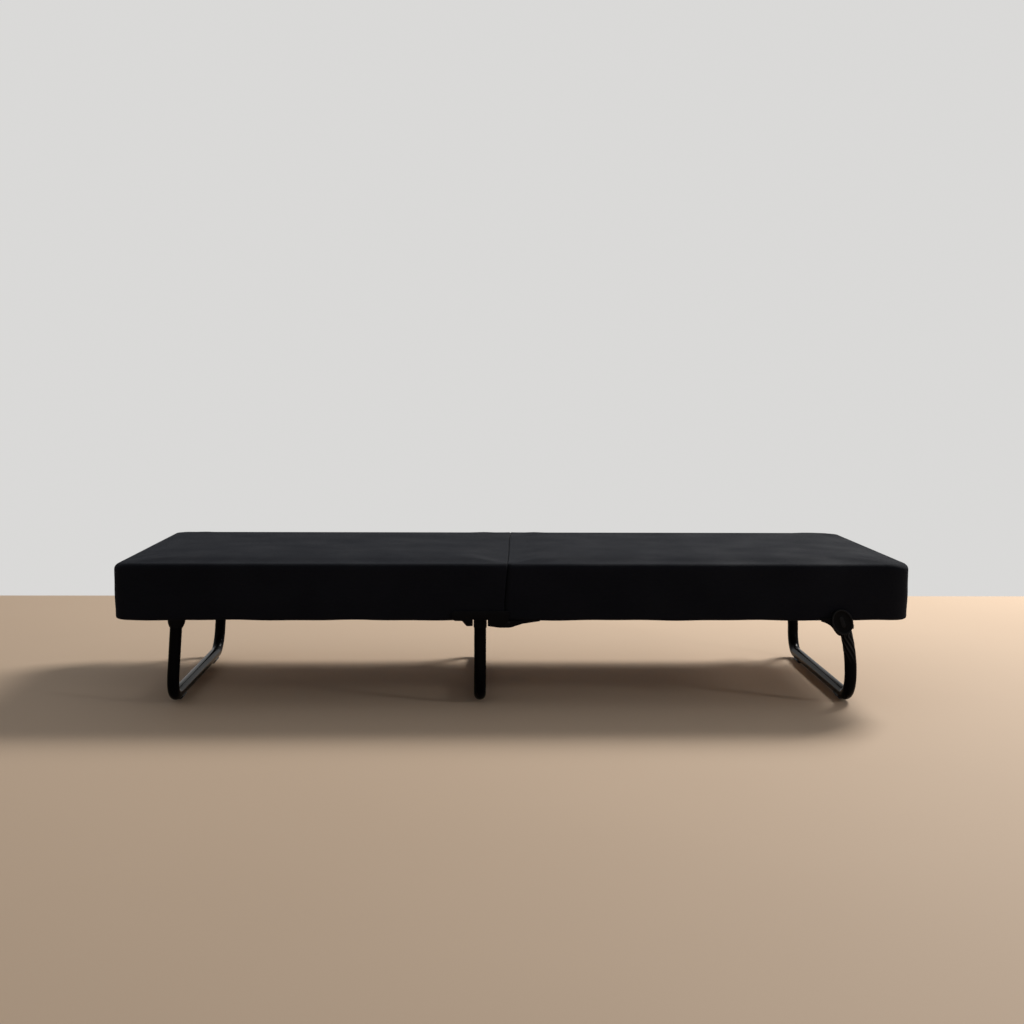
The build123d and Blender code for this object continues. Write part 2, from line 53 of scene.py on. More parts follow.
# The room: a plain pale floor, beige as far as the photograph's wall and grey past it, under soft
# daylight from the right and behind. The camera stands where the photograph was taken.

floor_reach = 9.0
wall_y = 1.49
wall_blur = 0.01
floor_beige = (0.650, 0.485, 0.345)
floor_tan = (0.600, 0.445, 0.315)
sky_seen = (0.700, 0.695, 0.685)
sky_light = (0.93, 0.96, 1.0)
sky_strength = 0.25
camera_place = (-0.0919, -3.8197, 0.7533)
camera_pitch = 4.917
camera_yaw = 1.382
camera_roll = -0.245
camera_lens = 53.51
lamps = (
    # name, place, aimed at, width, watts, colour
    ("window", (3.6, 3.48, 4.2), (0.1, 0.1, 0.2), 1.9, 400.0, (1.0, 0.985, 0.96)),
    ("side", (3.9, -2.4, 1.7), (0.2, -0.3, 0.2), 0.5, 22.0, (0.97, 0.98, 1.0)),
)


def add_node(tree, kind, inputs=None, **settings):
    """One shader node: settings are its properties, inputs its sockets' values or links."""
    made = tree.nodes.new(kind)
    for name, value in settings.items():
        setattr(made, name, value)
    for name, value in (inputs or {}).items():
        if isinstance(value, bpy.types.NodeSocket):
            tree.links.new(value, made.inputs[name])
        else:
            made.inputs[name].default_value = value
    return made


def finish_material(name, shader_values, base=None, roughness=None, height=None, relief=0.0002):
    """A material whose base colour, roughness and bump height come from the sockets given.

    Each of base, roughness and height is a function of the tree that returns a socket.
    """
    made = bpy.data.materials.new(name)
    made.use_nodes = True
    tree = made.node_tree
    shader = tree.nodes["Principled BSDF"]
    for socket, value in shader_values.items():
        shader.inputs[socket].default_value = value
    if base:
        tree.links.new(base(tree), shader.inputs["Base Color"])
    if roughness:
        tree.links.new(roughness(tree), shader.inputs["Roughness"])
    if height:
        grain = {"Height": height(tree), "Distance": relief, "Strength": 1.0}
        bump = add_node(tree, "ShaderNodeBump", grain)
        tree.links.new(bump.outputs["Normal"], shader.inputs["Normal"])
    return made


def object_place(tree, scale=(1.0, 1.0, 1.0)):
    """The place on the object, in metres, times a scale along each axis."""
    place = add_node(tree, "ShaderNodeTexCoord").outputs["Object"]
    return add_node(tree, "ShaderNodeMapping", {"Vector": place, "Scale": scale}).outputs["Vector"]


def noise(tree, vector, scale, detail=3.0, rough=0.5):
    """A cloudy pattern from 0 to 1."""
    values = {"Vector": vector, "Scale": scale, "Detail": detail, "Roughness": rough}
    return add_node(tree, "ShaderNodeTexNoise", values).outputs["Fac"]


def spread(tree, value, low, high, from_low=0.3, from_high=0.7):
    """A value carried from one range to another, kept within it."""
    values = {"Value": value, "From Min": from_low, "From Max": from_high, "To Min": low, "To Max": high}
    return add_node(tree, "ShaderNodeMapRange", values).outputs["Result"]


def blend_colours(tree, factor, first, second):
    """Two colours mixed by a factor."""
    made = add_node(tree, "ShaderNodeMix", data_type="RGBA")
    tree.links.new(factor, made.inputs[0])
    made.inputs[6].default_value = (*first, 1.0)
    made.inputs[7].default_value = (*second, 1.0)
    return made.outputs[2]


def reckon(tree, operation, first, second=0.0):
    """One arithmetic step on one or two values."""
    made = add_node(tree, "ShaderNodeMath", operation=operation)
    for socket, value in zip(made.inputs, (first, second)):
        if isinstance(value, bpy.types.NodeSocket):
            tree.links.new(value, socket)
        else:
            socket.default_value = value
    return made.outputs[0]


def add_mesh(name, points, faces, material, smooth=True, uv=None):
    """A mesh object at the origin, from its points and its faces, with a map along it if one is given."""
    mesh = bpy.data.meshes.new(name)
    mesh.from_pydata(points, [], faces)
    if uv is not None:
        layer = mesh.uv_layers.new(name="along")
        corners = np.zeros(len(mesh.loops), np.int32)
        mesh.loops.foreach_get("vertex_index", corners)
        layer.data.foreach_set("uv", uv[corners].astype(np.float32).ravel())
    mesh.polygons.foreach_set("use_smooth", np.full(len(mesh.polygons), smooth))
    mesh.materials.append(material)
    made = bpy.data.objects.new(name, mesh)
    bpy.context.scene.collection.objects.link(made)
    return made


def floor_colour(tree):
    """Beige, a little uneven."""
    return blend_colours(tree, noise(tree, object_place(tree), 0.9, 3.0), floor_tan, floor_beige)


def rays_seen(tree):
    """One for rays that show the backdrop: from the camera, off a glossy face or through a clear one."""
    rays = add_node(tree, "ShaderNodeLightPath").outputs
    seen = reckon(tree, "MAXIMUM", rays["Is Camera Ray"], rays["Is Glossy Ray"])
    return reckon(tree, "MAXIMUM", seen, rays["Is Transmission Ray"])


floor_shine = {"Roughness": 0.75, "Specular IOR Level": 0.2}
floor_paint = finish_material("floor_paint", floor_shine, base=floor_colour)
paint = floor_paint.node_tree
wall_tone = add_node(paint, "ShaderNodeEmission", {"Color": (*sky_seen, 1.0), "Strength": rays_seen(paint)})
depth = add_node(paint, "ShaderNodeSeparateXYZ", {"Vector": object_place(paint)}).outputs["Y"]
past_wall = spread(paint, depth, 0.0, 1.0, wall_y - wall_blur, wall_y + wall_blur)
floor_shader = paint.nodes["Principled BSDF"].outputs[0]
floor_mix = add_node(paint, "ShaderNodeMixShader", {0: past_wall, 1: floor_shader, 2: wall_tone.outputs[0]})
paint.links.new(floor_mix.outputs[0], paint.nodes["Material Output"].inputs["Surface"])
corner = np.array([[-1, -1, 0], [1, -1, 0], [1, 1, 0], [-1, 1, 0]]) * floor_reach
floor = add_mesh("floor", corner, [(0, 1, 2, 3)], floor_paint, smooth=False)

world = bpy.data.worlds.new("room_light")
world.use_nodes = True
sky = world.node_tree
soft = add_node(sky, "ShaderNodeBackground", {"Color": (*sky_light, 1.0), "Strength": sky_strength})
plain = add_node(sky, "ShaderNodeBackground", {"Color": (*sky_seen, 1.0), "Strength": 1.0})
both = add_node(sky, "ShaderNodeMixShader", {0: rays_seen(sky), 1: soft.outputs[0], 2: plain.outputs[0]})
sky.links.new(both.outputs[0], sky.nodes["World Output"].inputs["Surface"])
bpy.context.scene.world = world

for name, place, target, width, watts, colour in lamps:
    light = bpy.data.lights.new(name, "AREA")
    light.size = width
    light.energy = watts
    light.color = colour
    lamp = bpy.data.objects.new(name, light)
    lamp.location = place
    lamp.rotation_euler = (Vector(target) - Vector(place)).to_track_quat("-Z", "Y").to_euler()
    bpy.context.scene.collection.objects.link(lamp)

camera_data = bpy.data.cameras.new("camera")
camera_data.lens = camera_lens
camera = bpy.data.objects.new("camera", camera_data)
camera.location = camera_place
camera.rotation_euler = [math.radians(a) for a in (90 - camera_pitch, camera_roll, -camera_yaw)]
bpy.context.scene.collection.objects.link(camera)
bpy.context.scene.camera = camera
bpy.context.scene.view_settings.view_transform = "Standard"


# The two pads: each is a slab of foam in a boxed black woven cover, crowned a little on top and
# drawn in towards the hem, which turns under the frame. The covers meet at a seam that runs a
# little askew, and their backing of charcoal fleece shows between the slats below.

pad_round, seam_round, hem_round = 16 * mm, 4 * mm, 7 * mm
seam_touch = 0.05 * mm
skirt_draw = 2 * mm
crown_rise, crown_power = 4 * mm, 2.2
cover_wall = 2.5 * mm
hem_flange = 25 * mm
fold_heights = (2 * mm, 1 * mm, 0.2 * mm)
hinge_bay, bay_fade = 92 * mm, 8 * mm
seam_lift, lift_reach = 9 * mm, 6 * mm
left_corner, right_corner = 28 * mm, 46 * mm
left_seam_corner, right_seam_corner = 3 * mm, 13 * mm
rear_corner_share = 0.2
front_askew_low, front_askew_top = -10.5 * mm, -3.5 * mm
rear_askew_low, rear_askew_top = 7 * mm, 21 * mm
seam_bow = 0.8 * mm
askew_reach = 240 * mm
hem_wave, wave_reach = 0.7 * mm, 40 * mm
long_wave, short_wave = (21, 9), (47, -31)
short_wave_share, short_wave_start = 0.6, 1.3
voxel = 9 * mm
cloth_frames = 20
puff_pressure, puff_limit, puff_smooth = 4.0, 5 * mm, 5
wrap_reach, wrap_levels, side_wrap = 70 * mm, 30, 0.4
arc_points, long_points, short_points = 9, 84, 68
hem_rows, side_rows, edge_rows, top_rows = 5, 13, 9, 34
backing_rows, skirt_rows = 14, 6
side_from, side_to, side_ease = 0.1, 0.88, 0.5
inmost_share = 0.97

cover_low, cover_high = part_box("left_cover")
seam_x = (cover_high.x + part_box("right_cover")[0].x) / 2
hem_z, crown_z = cover_low.z, cover_high.z
shoulder_z = crown_z - crown_rise
pad_half = cover_high.y
deck_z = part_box("left_slats")[1].z


def rounded_rings(near, far, half, near_radius, far_radius):
    """Rounded rectangles as rings of points, one ring for each entry of the arrays given.

    A corner is its circle's centre plus its radius times (cos a, sin a), with a over a quarter
    turn. A straight side is shared out evenly between the arcs at its ends.
    """
    side = np.sign(far - near)
    corners = ((near, near_radius, -1, -1, 180), (far, far_radius, 1, -1, 270), (far, far_radius, 1, 1, 0),
               (near, near_radius * rear_corner_share, -1, 1, 90))
    arcs = []
    for x, radius, along, across, start in corners:
        turn = np.radians(start + np.linspace(0, 90, arc_points))
        centre = np.stack([x - side * along * radius, across * (half - radius)], 1)
        swing = np.stack([np.cos(turn) * side[0], np.sin(turn)], 1)
        arcs.append(centre[:, None] + radius[:, None, None] * swing[None])
    rings = []
    for step, (arc, following) in enumerate(zip(arcs, arcs[1:] + arcs[:1])):
        share = np.linspace(0, 1, (long_points if step % 2 == 0 else short_points) + 2)[1:-1, None]
        straight = arc[:, -1, None] * (1 - share) + following[:, 0, None] * share
        rings += [arc, straight]
    return np.concatenate(rings, 1)


def ring_faces(rows, count):
    """Quads between neighbouring rings of a closed grid, then fans to a pole at each end."""
    row, step = np.meshgrid(np.arange(rows - 1), np.arange(count), indexing="ij")
    after = (step + 1) % count
    near, far = row * count, (row + 1) * count
    quads = np.stack([near + step, near + after, far + after, far + step], -1)
    first = np.arange(count)
    low_fan = np.stack([np.full(count, rows * count), (first + 1) % count, first], 1)
    last = (rows - 1) * count
    high_fan = np.stack([np.full(count, rows * count + 1), last + first, last + (first + 1) % count], 1)
    return quads.reshape(-1, 4).tolist() + low_fan.tolist() + high_fan.tolist()


def pad_rows():
    """The outer rows of a pad from the hem up: draw-in, height, and share towards the middle.

    The hem and the top edge are quarter circles, the side's draw-in fades by 3 e squared less 2 e
    cubed, and the top rises by one less a power of the share that is left to the middle.
    """
    turn = np.linspace(0, math.pi / 2, hem_rows)
    hem_draw = skirt_draw + hem_round * (1 - np.sin(turn))
    hem = np.stack([hem_draw, hem_z + hem_round * (1 - np.cos(turn)), turn * 0], 1)
    rise = np.linspace(side_from, side_to, side_rows)
    ease = np.clip((rise - side_from) / side_ease, 0, 1)
    draw = skirt_draw * (1 - ease * ease * (3 - 2 * ease))
    side = np.stack([draw, hem_z + (shoulder_z - pad_round - hem_z) * rise, rise * 0], 1)
    turn = np.linspace(0, math.pi / 2, edge_rows)
    edge_z = shoulder_z - pad_round * (1 - np.sin(turn))
    top_edge = np.stack([pad_round * (1 - np.cos(turn)), edge_z, turn * 0], 1)
    share = np.linspace(0, inmost_share, top_rows)[1:]
    top_z = shoulder_z + crown_rise * (1 - (1 - share) ** crown_power)
    top = np.stack([np.full(top_rows - 1, pad_round), top_z, share], 1)
    return np.concatenate([hem, side, top_edge, top])


def pad_rings(end_x, end_corner, rows, wall=0.0):
    """Rings of a pad for rows of (draw-in, height, share towards the middle), inside a wall.

    The side at the seam is upright, and drawn in only where its top edge rounds over on a small
    quarter circle.
    """
    side = 1 if end_x > seam_x else -1
    seam_corner = right_seam_corner if side > 0 else left_seam_corner
    draw, height, share = rows.T
    over = np.clip(height - (shoulder_z - seam_round), 0, seam_round)
    seam_draw = seam_round - np.sqrt(seam_round ** 2 - over ** 2)
    edge_near = seam_x + side * (seam_touch + wall + seam_draw)
    edge_far = end_x - side * draw
    middle = (edge_near + edge_far) / 2
    keep = 1 - share
    near = middle + (edge_near - middle) * keep
    far = middle + (edge_far - middle) * keep
    plan = rounded_rings(near, far, (pad_half - draw) * keep, seam_corner * keep, end_corner * keep)
    return np.concatenate([plan, np.broadcast_to(height[:, None, None], plan.shape[:2] + (1,))], 2)


def set_askew(points):
    """Moves points near the seam along X: to the left at the front, to the right at the rear.

    The shift is shared out by the place across the bed and the height, with a shallow sine along
    the seam, and fades away from it by 3 n squared less 2 n cubed.
    """
    across = np.clip((points[..., 1] + pad_half) / (2 * pad_half), 0, 1)
    up = np.clip((points[..., 2] - deck_z) / (shoulder_z - deck_z), 0, 1)
    front = front_askew_low + (front_askew_top - front_askew_low) * up
    rear = rear_askew_low + (rear_askew_top - rear_askew_low) * up
    shift = front * (1 - across) + rear * across + seam_bow * np.sin(np.pi * 2 * across)
    near = np.clip(1 - np.abs(points[..., 0] - seam_x) / askew_reach, 0, 1)
    points[..., 0] += shift * near * near * (3 - 2 * near)
    return points


def closed_grid(name, rings):
    """A mesh object in the cover's cloth from rings of points, closed by a pole at each end.

    It comes with its points.
    """
    poles = np.array([rings[0].mean(0), rings[-1].mean(0)])
    points = np.concatenate([rings.reshape(-1, 3), poles])
    return add_mesh(name, points.tolist(), ring_faces(len(rings), rings.shape[1]), cover_cloth), points


def places(made):
    """The places of an object's vertices, as an array."""
    flat = np.zeros(len(made.data.vertices) * 3)
    made.data.vertices.foreach_get("co", flat)
    return flat.reshape(-1, 3)


def simulated_block(name, end_x, end_corner):
    """The pad as a plain closed block, blown up a little as cloth, to wrap the cover on.

    Each vertex moves by what the simulation gives it, cut to a limit, and is smoothed after.
    """
    block = closed_grid(name, pad_rings(end_x, end_corner, pad_rows()))[0]
    remesh = block.modifiers.new("remesh", "REMESH")
    remesh.mode = "VOXEL"
    remesh.voxel_size = voxel
    bpy.context.view_layer.objects.active = block
    bpy.ops.object.modifier_apply(modifier="remesh")
    before = places(block)
    held = block.vertex_groups.new(name="held")
    held.add(np.flatnonzero(before[:, 2] < deck_z).tolist(), 1.0, "REPLACE")
    cloth_step = block.modifiers.new("cloth", "CLOTH")
    settings = cloth_step.settings
    settings.quality = 6
    settings.mass = 0.3
    settings.tension_stiffness = settings.compression_stiffness = 20
    settings.shear_stiffness = 8
    settings.bending_stiffness = 4
    settings.use_pressure = True
    settings.uniform_pressure_force = puff_pressure
    settings.vertex_group_mass = "held"
    settings.effector_weights.gravity = 0
    for frame_number in range(1, cloth_frames + 1):
        bpy.context.scene.frame_set(frame_number)
    bpy.ops.object.modifier_apply(modifier="cloth")
    moved = places(block) - before
    length = np.linalg.norm(moved, axis=1, keepdims=True)
    moved *= np.minimum(1, puff_limit / np.maximum(length, 1e-9))
    block.data.vertices.foreach_set("co", (before + moved).ravel())
    smooth = block.modifiers.new("smooth", "SMOOTH")
    smooth.iterations = puff_smooth
    bpy.context.scene.frame_set(1)
    return block


def wrap_weights(points, straight_x, end_x):
    """How far each outer vertex goes towards the block: none at the seam and edges, full on the top.

    On the sides it is the sine of the height's share, cut down near the corners and the seam.
    """
    from_seam = np.abs(straight_x - seam_x)
    from_edge = np.minimum(np.abs(straight_x - end_x), from_seam)
    from_side = pad_half - np.abs(points[:, 1])
    above_edge = points[:, 2] > shoulder_z - pad_round / 2
    on_top = np.clip(np.minimum(from_edge, from_side) / wrap_reach, 0, 1) * above_edge
    rise = np.clip((points[:, 2] - deck_z) / (shoulder_z - deck_z), 0, 1)
    on_side = np.sin(np.pi * rise) * np.clip(np.maximum(from_edge, from_side) / wrap_reach, 0, 1)
    on_side *= np.clip(from_seam / wrap_reach, 0, 1)
    return np.maximum(on_top, side_wrap * on_side)


def pad(name, end_x, end_corner, body, replaced):
    """One pad: backing, inner wall, hem, sides and top as one closed surface.

    Beside the hinge the hem's flange gives way to a plain fold, and the hem rises a little there
    inside the skirt. The hem waves by the sum of two sines.
    """
    outer = pad_rings(end_x, end_corner, pad_rows())
    inner_draw = skirt_draw + cover_wall
    rows = [(inner_draw, deck_z, share) for share in np.linspace(inmost_share, 0, backing_rows)]
    rows += [(inner_draw, z, 0) for z in np.linspace(deck_z, hem_z + hem_round, skirt_rows)[1:]]
    rows.append((inner_draw + hem_round / 3, hem_z + cover_wall, 0))
    inner = pad_rings(end_x, end_corner, np.array(rows), cover_wall)
    turned = [(hem_flange, hem_z + cover_wall, 0), (hem_flange, hem_z, 0), (hem_flange / 2, hem_z, 0)]
    flange = pad_rings(end_x, end_corner, np.array(turned), cover_wall)
    folded = [(inner_draw + hem_round / 2, hem_z + z, 0) for z in fold_heights]
    plain = pad_rings(end_x, end_corner, np.array(folded), cover_wall / 2)
    past = np.clip((np.abs(flange[..., :1] - seam_x) - hinge_bay) / bay_fade, 0, 1)
    flange = plain + (flange - plain) * past
    rings = np.concatenate([inner, flange, outer])
    bare = np.clip(1 - (np.abs(rings[..., 0] - seam_x) - lift_reach) / lift_reach, 0, 1)
    inside = np.clip((pad_half - inner_draw - np.abs(rings[..., 1])) / lift_reach, 0, 1)
    low = np.clip((hem_z + 2 * seam_lift - rings[..., 2]) / (2 * seam_lift), 0, 1)
    rings[..., 2] += seam_lift * bare * inside * low
    straight_x = np.concatenate([rings[..., 0].ravel(), rings[[0, -1], :, 0].mean(1)])
    rings = set_askew(rings)
    wave = np.sin(rings[..., 0] * long_wave[0] + rings[..., 1] * long_wave[1])
    ripple = rings[..., 0] * short_wave[0] + rings[..., 1] * short_wave[1] + short_wave_start
    wave += short_wave_share * np.sin(ripple)
    falls = np.clip((hem_z + wave_reach - rings[..., 2]) / wave_reach, 0, 1)
    rings[len(inner):, :, 2] += (hem_wave * wave * falls)[len(inner):]
    count = rings.shape[1]
    made, points = closed_grid(name, rings)
    made.data.materials.append(backing_cloth)
    face_row = np.repeat(np.arange(len(rings) - 1), count)
    backing = np.concatenate([face_row < backing_rows, np.full(count, True), np.full(count, False)])
    made.data.polygons.foreach_set("material_index", backing.astype(np.int32))
    if end_x < seam_x:
        made.data.flip_normals()
    block = simulated_block(name + "_block", end_x, end_corner)
    block.data.vertices.foreach_set("co", set_askew(places(block)).ravel())
    wrapped = made.vertex_groups.new(name="wrapped")
    above = np.arange((len(inner) + len(flange)) * count, len(points))
    share = wrap_weights(points[above], straight_x[above], end_x)
    for level in np.linspace(0, 1, wrap_levels + 1)[1:]:
        wrapped.add(above[share > level - 0.5 / wrap_levels].tolist(), float(level), "REPLACE")
    wrap = made.modifiers.new("wrap", "SHRINKWRAP")
    wrap.target = block
    wrap.vertex_group = "wrapped"
    bpy.context.view_layer.objects.active = made
    bpy.ops.object.modifier_apply(modifier="wrap")
    bpy.data.objects.remove(block)
    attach(made, body)
    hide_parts(*replaced)
    return made


def weave_height(tree):
    """Threads crossing at right angles: ripples along X and Y on top, X or Y and Z on the sides."""
    place = add_node(tree, "ShaderNodeSeparateXYZ", {"Vector": object_place(tree)}).outputs
    turns = [reckon(tree, "MULTIPLY", place[axis], 2 * math.pi / thread_pitch) for axis in "XYZ"]
    ripples = [reckon(tree, "SINE", turn) for turn in turns]
    woven = reckon(tree, "MULTIPLY", ripples[0], reckon(tree, "ADD", ripples[1], ripples[2]))
    slub = noise(tree, object_place(tree), 38.0, 4.0, 0.6)
    return reckon(tree, "ADD", reckon(tree, "MULTIPLY", woven, 0.25), reckon(tree, "MULTIPLY", slub, 2.2))


def cloth_colour(tree):
    """Near black, a touch greyer where the nap lies over."""
    cloudy = noise(tree, object_place(tree), 5.0, 5.0, 0.55)
    fine = noise(tree, object_place(tree), 260.0, 2.0, 0.6)
    both = reckon(tree, "ADD", reckon(tree, "MULTIPLY", cloudy, 0.65), reckon(tree, "MULTIPLY", fine, 0.35))
    return blend_colours(tree, spread(tree, both, 0.0, 1.0), cloth_dark, cloth_light)


def cloth_roughness(tree):
    """Rougher in some places than others."""
    return spread(tree, noise(tree, object_place(tree), 9.0, 4.0), 0.78, 0.95)


thread_pitch = 1.1 * mm
cloth_dark = (0.0042, 0.0044, 0.0062)
cloth_light = (0.0074, 0.0077, 0.0104)
cloth_shine = {"Sheen Weight": 0.027, "Sheen Roughness": 0.4, "Sheen Tint": (0.7, 0.8, 1.0, 1.0),
               "Specular IOR Level": 0.05}
cover_cloth = finish_material("cover_cloth", cloth_shine, base=cloth_colour, roughness=cloth_roughness,
                              height=weave_height, relief=0.22 * mm)


def backing_colour(tree):
    """Charcoal fleece, matted in spots."""
    spots = noise(tree, object_place(tree), 90.0, 6.0, 0.7)
    return blend_colours(tree, spots, (0.014, 0.014, 0.015), (0.035, 0.035, 0.036))


def backing_height(tree):
    """Matted fibres."""
    return noise(tree, object_place(tree), 420.0, 5.0, 0.75)


backing_cloth = finish_material("backing_cloth", {"Roughness": 0.95, "Specular IOR Level": 0.2},
                                base=backing_colour, height=backing_height, relief=0.3 * mm)

left_end, right_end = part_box("left_cover")[0].x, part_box("right_cover")[1].x
pad("left_pad", left_end, left_corner, "left_half", ("left_cover", "left_foam_core"))
pad("right_pad", right_end, right_corner, "right_half", ("right_cover", "right_foam_core"))


# The steel frames: two square side rails and four square cross tubes in each half, welded and
# powder coated in satin black, with plastic plugs pushed into the rails' ends.

edge_bevel = 0.5 * mm


def coated(name, dark, light, rough, cloud, relief, grain=700.0, **shine):
    """Paint, plastic or plating: clouded colour and roughness, over a fine grain that stands out.

    rough is the lowest and the highest roughness, cloud the number of clouds to a metre, grain the
    number of grains to a metre, relief how far they stand out, and shine the shader's own values.
    """
    def colour(tree):
        clouds = spread(tree, noise(tree, object_place(tree), cloud, 4.0, 0.6), 0.0, 1.0)
        return blend_colours(tree, clouds, dark, light)

    def roughness(tree):
        return spread(tree, noise(tree, object_place(tree, (1.0, 1.0, 1.3)), cloud * 1.7, 5.0, 0.65), *rough)

    def height(tree):
        return noise(tree, object_place(tree), grain, 3.0, 0.5)

    values = {key.replace("_", " ").title().replace("Ior", "IOR"): value for key, value in shine.items()}
    return finish_material(name, values, base=colour, roughness=roughness, height=height, relief=relief)


def show_carried(names, material, bevel=0.0, split_degrees=30.0):
    """Gives CAD nodes their finish: welded for smooth shading, and eased or split at sharp edges."""
    for name in names:
        piece = nodes[name]
        piece.data.materials.clear()
        piece.data.materials.append(material)
        piece.data.polygons.foreach_set("use_smooth", np.full(len(piece.data.polygons), True))
        weld = piece.modifiers.new("weld", "WELD")
        weld.merge_threshold = 0.01 * mm
        if bevel:
            eased = piece.modifiers.new("bevel", "BEVEL")
            eased.width = bevel
            eased.segments = 2
            eased.limit_method = "ANGLE"
            eased.angle_limit = math.radians(split_degrees)
            eased.harden_normals = False
        split = piece.modifiers.new("split", "EDGE_SPLIT")
        split.split_angle = math.radians(split_degrees)


frame_paint = coated("frame_paint", (0.010, 0.010, 0.011), (0.019, 0.019, 0.021), (0.38, 0.52),
                     cloud=7.0, relief=0.05 * mm)
rail_plastic = coated("rail_plastic", (0.012, 0.012, 0.013), (0.024, 0.024, 0.026), (0.5, 0.66),
                      cloud=22.0, relief=0.04 * mm, grain=1400.0)
show_carried(("left_side_rails", "right_side_rails"), frame_paint)
show_carried(("left_cross_tubes", "right_cross_tubes"), frame_paint)
show_carried(("left_rail_plugs", "right_rail_plugs"), rail_plastic)


# The slats: ten flat birch slats in each half, sawn and sanded, with eased edges, each clipped at
# both ends into a moulded holder that hooks over its rail.

birch_pale = (0.66, 0.51, 0.34)
birch_dark = (0.47, 0.33, 0.19)


def birch_colour(tree):
    """Long thin grain across the bed over broader tone from slat to slat."""
    broad = noise(tree, object_place(tree, (9.0, 0.8, 1.0)), 1.6, 3.0, 0.5)
    fine = noise(tree, object_place(tree, (120.0, 3.0, 120.0)), 2.2, 6.0, 0.62)
    both = reckon(tree, "ADD", reckon(tree, "MULTIPLY", broad, 0.45), reckon(tree, "MULTIPLY", fine, 0.55))
    return blend_colours(tree, spread(tree, both, 0.0, 1.0), birch_dark, birch_pale)


def birch_grain(tree):
    """Raised grain."""
    return noise(tree, object_place(tree, (220.0, 5.0, 220.0)), 2.0, 5.0, 0.6)


def birch_roughness(tree):
    """Sanded unevenly."""
    return spread(tree, noise(tree, object_place(tree, (30.0, 2.0, 30.0)), 2.0, 4.0), 0.5, 0.68)


slat_edge = 1.2 * mm
birch = finish_material("birch", {}, base=birch_colour, roughness=birch_roughness, height=birch_grain,
                        relief=0.08 * mm)
show_carried(("left_slats", "right_slats"), birch, bevel=slat_edge)
show_carried(("left_slat_holders", "right_slat_holders"), rail_plastic)


# The leg pivots: zinc-plated shoulder bolts and spacer washers on the rails' inner faces, and the
# welded stops that the open legs lean on.

leg_names = ("left_leg", "centre_leg", "right_leg")
zinc = coated("zinc", (0.42, 0.43, 0.44), (0.60, 0.60, 0.60), (0.26, 0.42), cloud=40.0, relief=0.02 * mm,
              metallic=1.0)
show_carried([leg + "_axles" for leg in leg_names] + [leg + "_washers" for leg in leg_names], zinc)
show_carried([leg + "_stops" for leg in leg_names], frame_paint, bevel=edge_bevel)


# The three legs: round steel tube bent to a U and stoved in gloss black. The end legs splay, and
# the right one's limbs bow upright below the knuckle; long shallow ridges in the enamel twist round
# it, with a painted highlight on their crests.

tube_radius = 14 * mm
leg_bend = 55 * mm
tube_top = 210 * mm
bow_height = 118 * mm
bow_radius = 380 * mm
round_points, bend_points = 64, 22
path_gap = 12 * mm
fold_degrees = 50
ridge_height = 0.35 * mm
ridge_count = 9
ridge_pitch = 200 * mm
ridge_reach = 112 * mm
enamel_dark = (0.0018, 0.0018, 0.0021)
enamel_light = (0.0040, 0.0040, 0.0045)
# Painted highlight: the grey given to the ridges' crests, where light would catch them.
painted_crest_highlight = (0.055, 0.055, 0.058)


def filleted(corners, radii):
    """A path through corners rounded by arcs: its points, from the first corner to the last.

    An arc starts short of its corner by radius times the tangent of half the turn, and each of its
    points is its centre, less the radius times the cosine, plus the radius times the sine of the
    angle gone through, along the arc's own two directions.
    """
    pieces = [corners[:1]]
    for before, corner, after, radius in zip(corners, corners[1:], corners[2:], radii):
        into = (corner - before) / np.linalg.norm(corner - before)
        out = (after - corner) / np.linalg.norm(after - corner)
        turn = math.acos(np.clip(into @ out, -1, 1))
        start = corner - into * radius * math.tan(turn / 2)
        inward = (out - into * math.cos(turn)) / math.sin(turn)
        angle = np.linspace(0, turn, bend_points)[:, None]
        pieces.append(start + inward * radius * (1 - np.cos(angle)) + into * radius * np.sin(angle))
    pieces.append(corners[-1:])
    return np.concatenate(pieces)


def spaced(path, gap):
    """The same path with points put in so that none is further than a gap from the next.

    It comes with each point's length along the path.
    """
    length = np.concatenate([[0], np.cumsum(np.linalg.norm(np.diff(path, axis=0), axis=1))])
    extra = np.arange(gap, length[-1], gap)
    steps = np.unique(np.round(np.concatenate([length, extra]), 4))
    return np.stack([np.interp(steps, length, path[:, axis]) for axis in range(3)], 1), steps


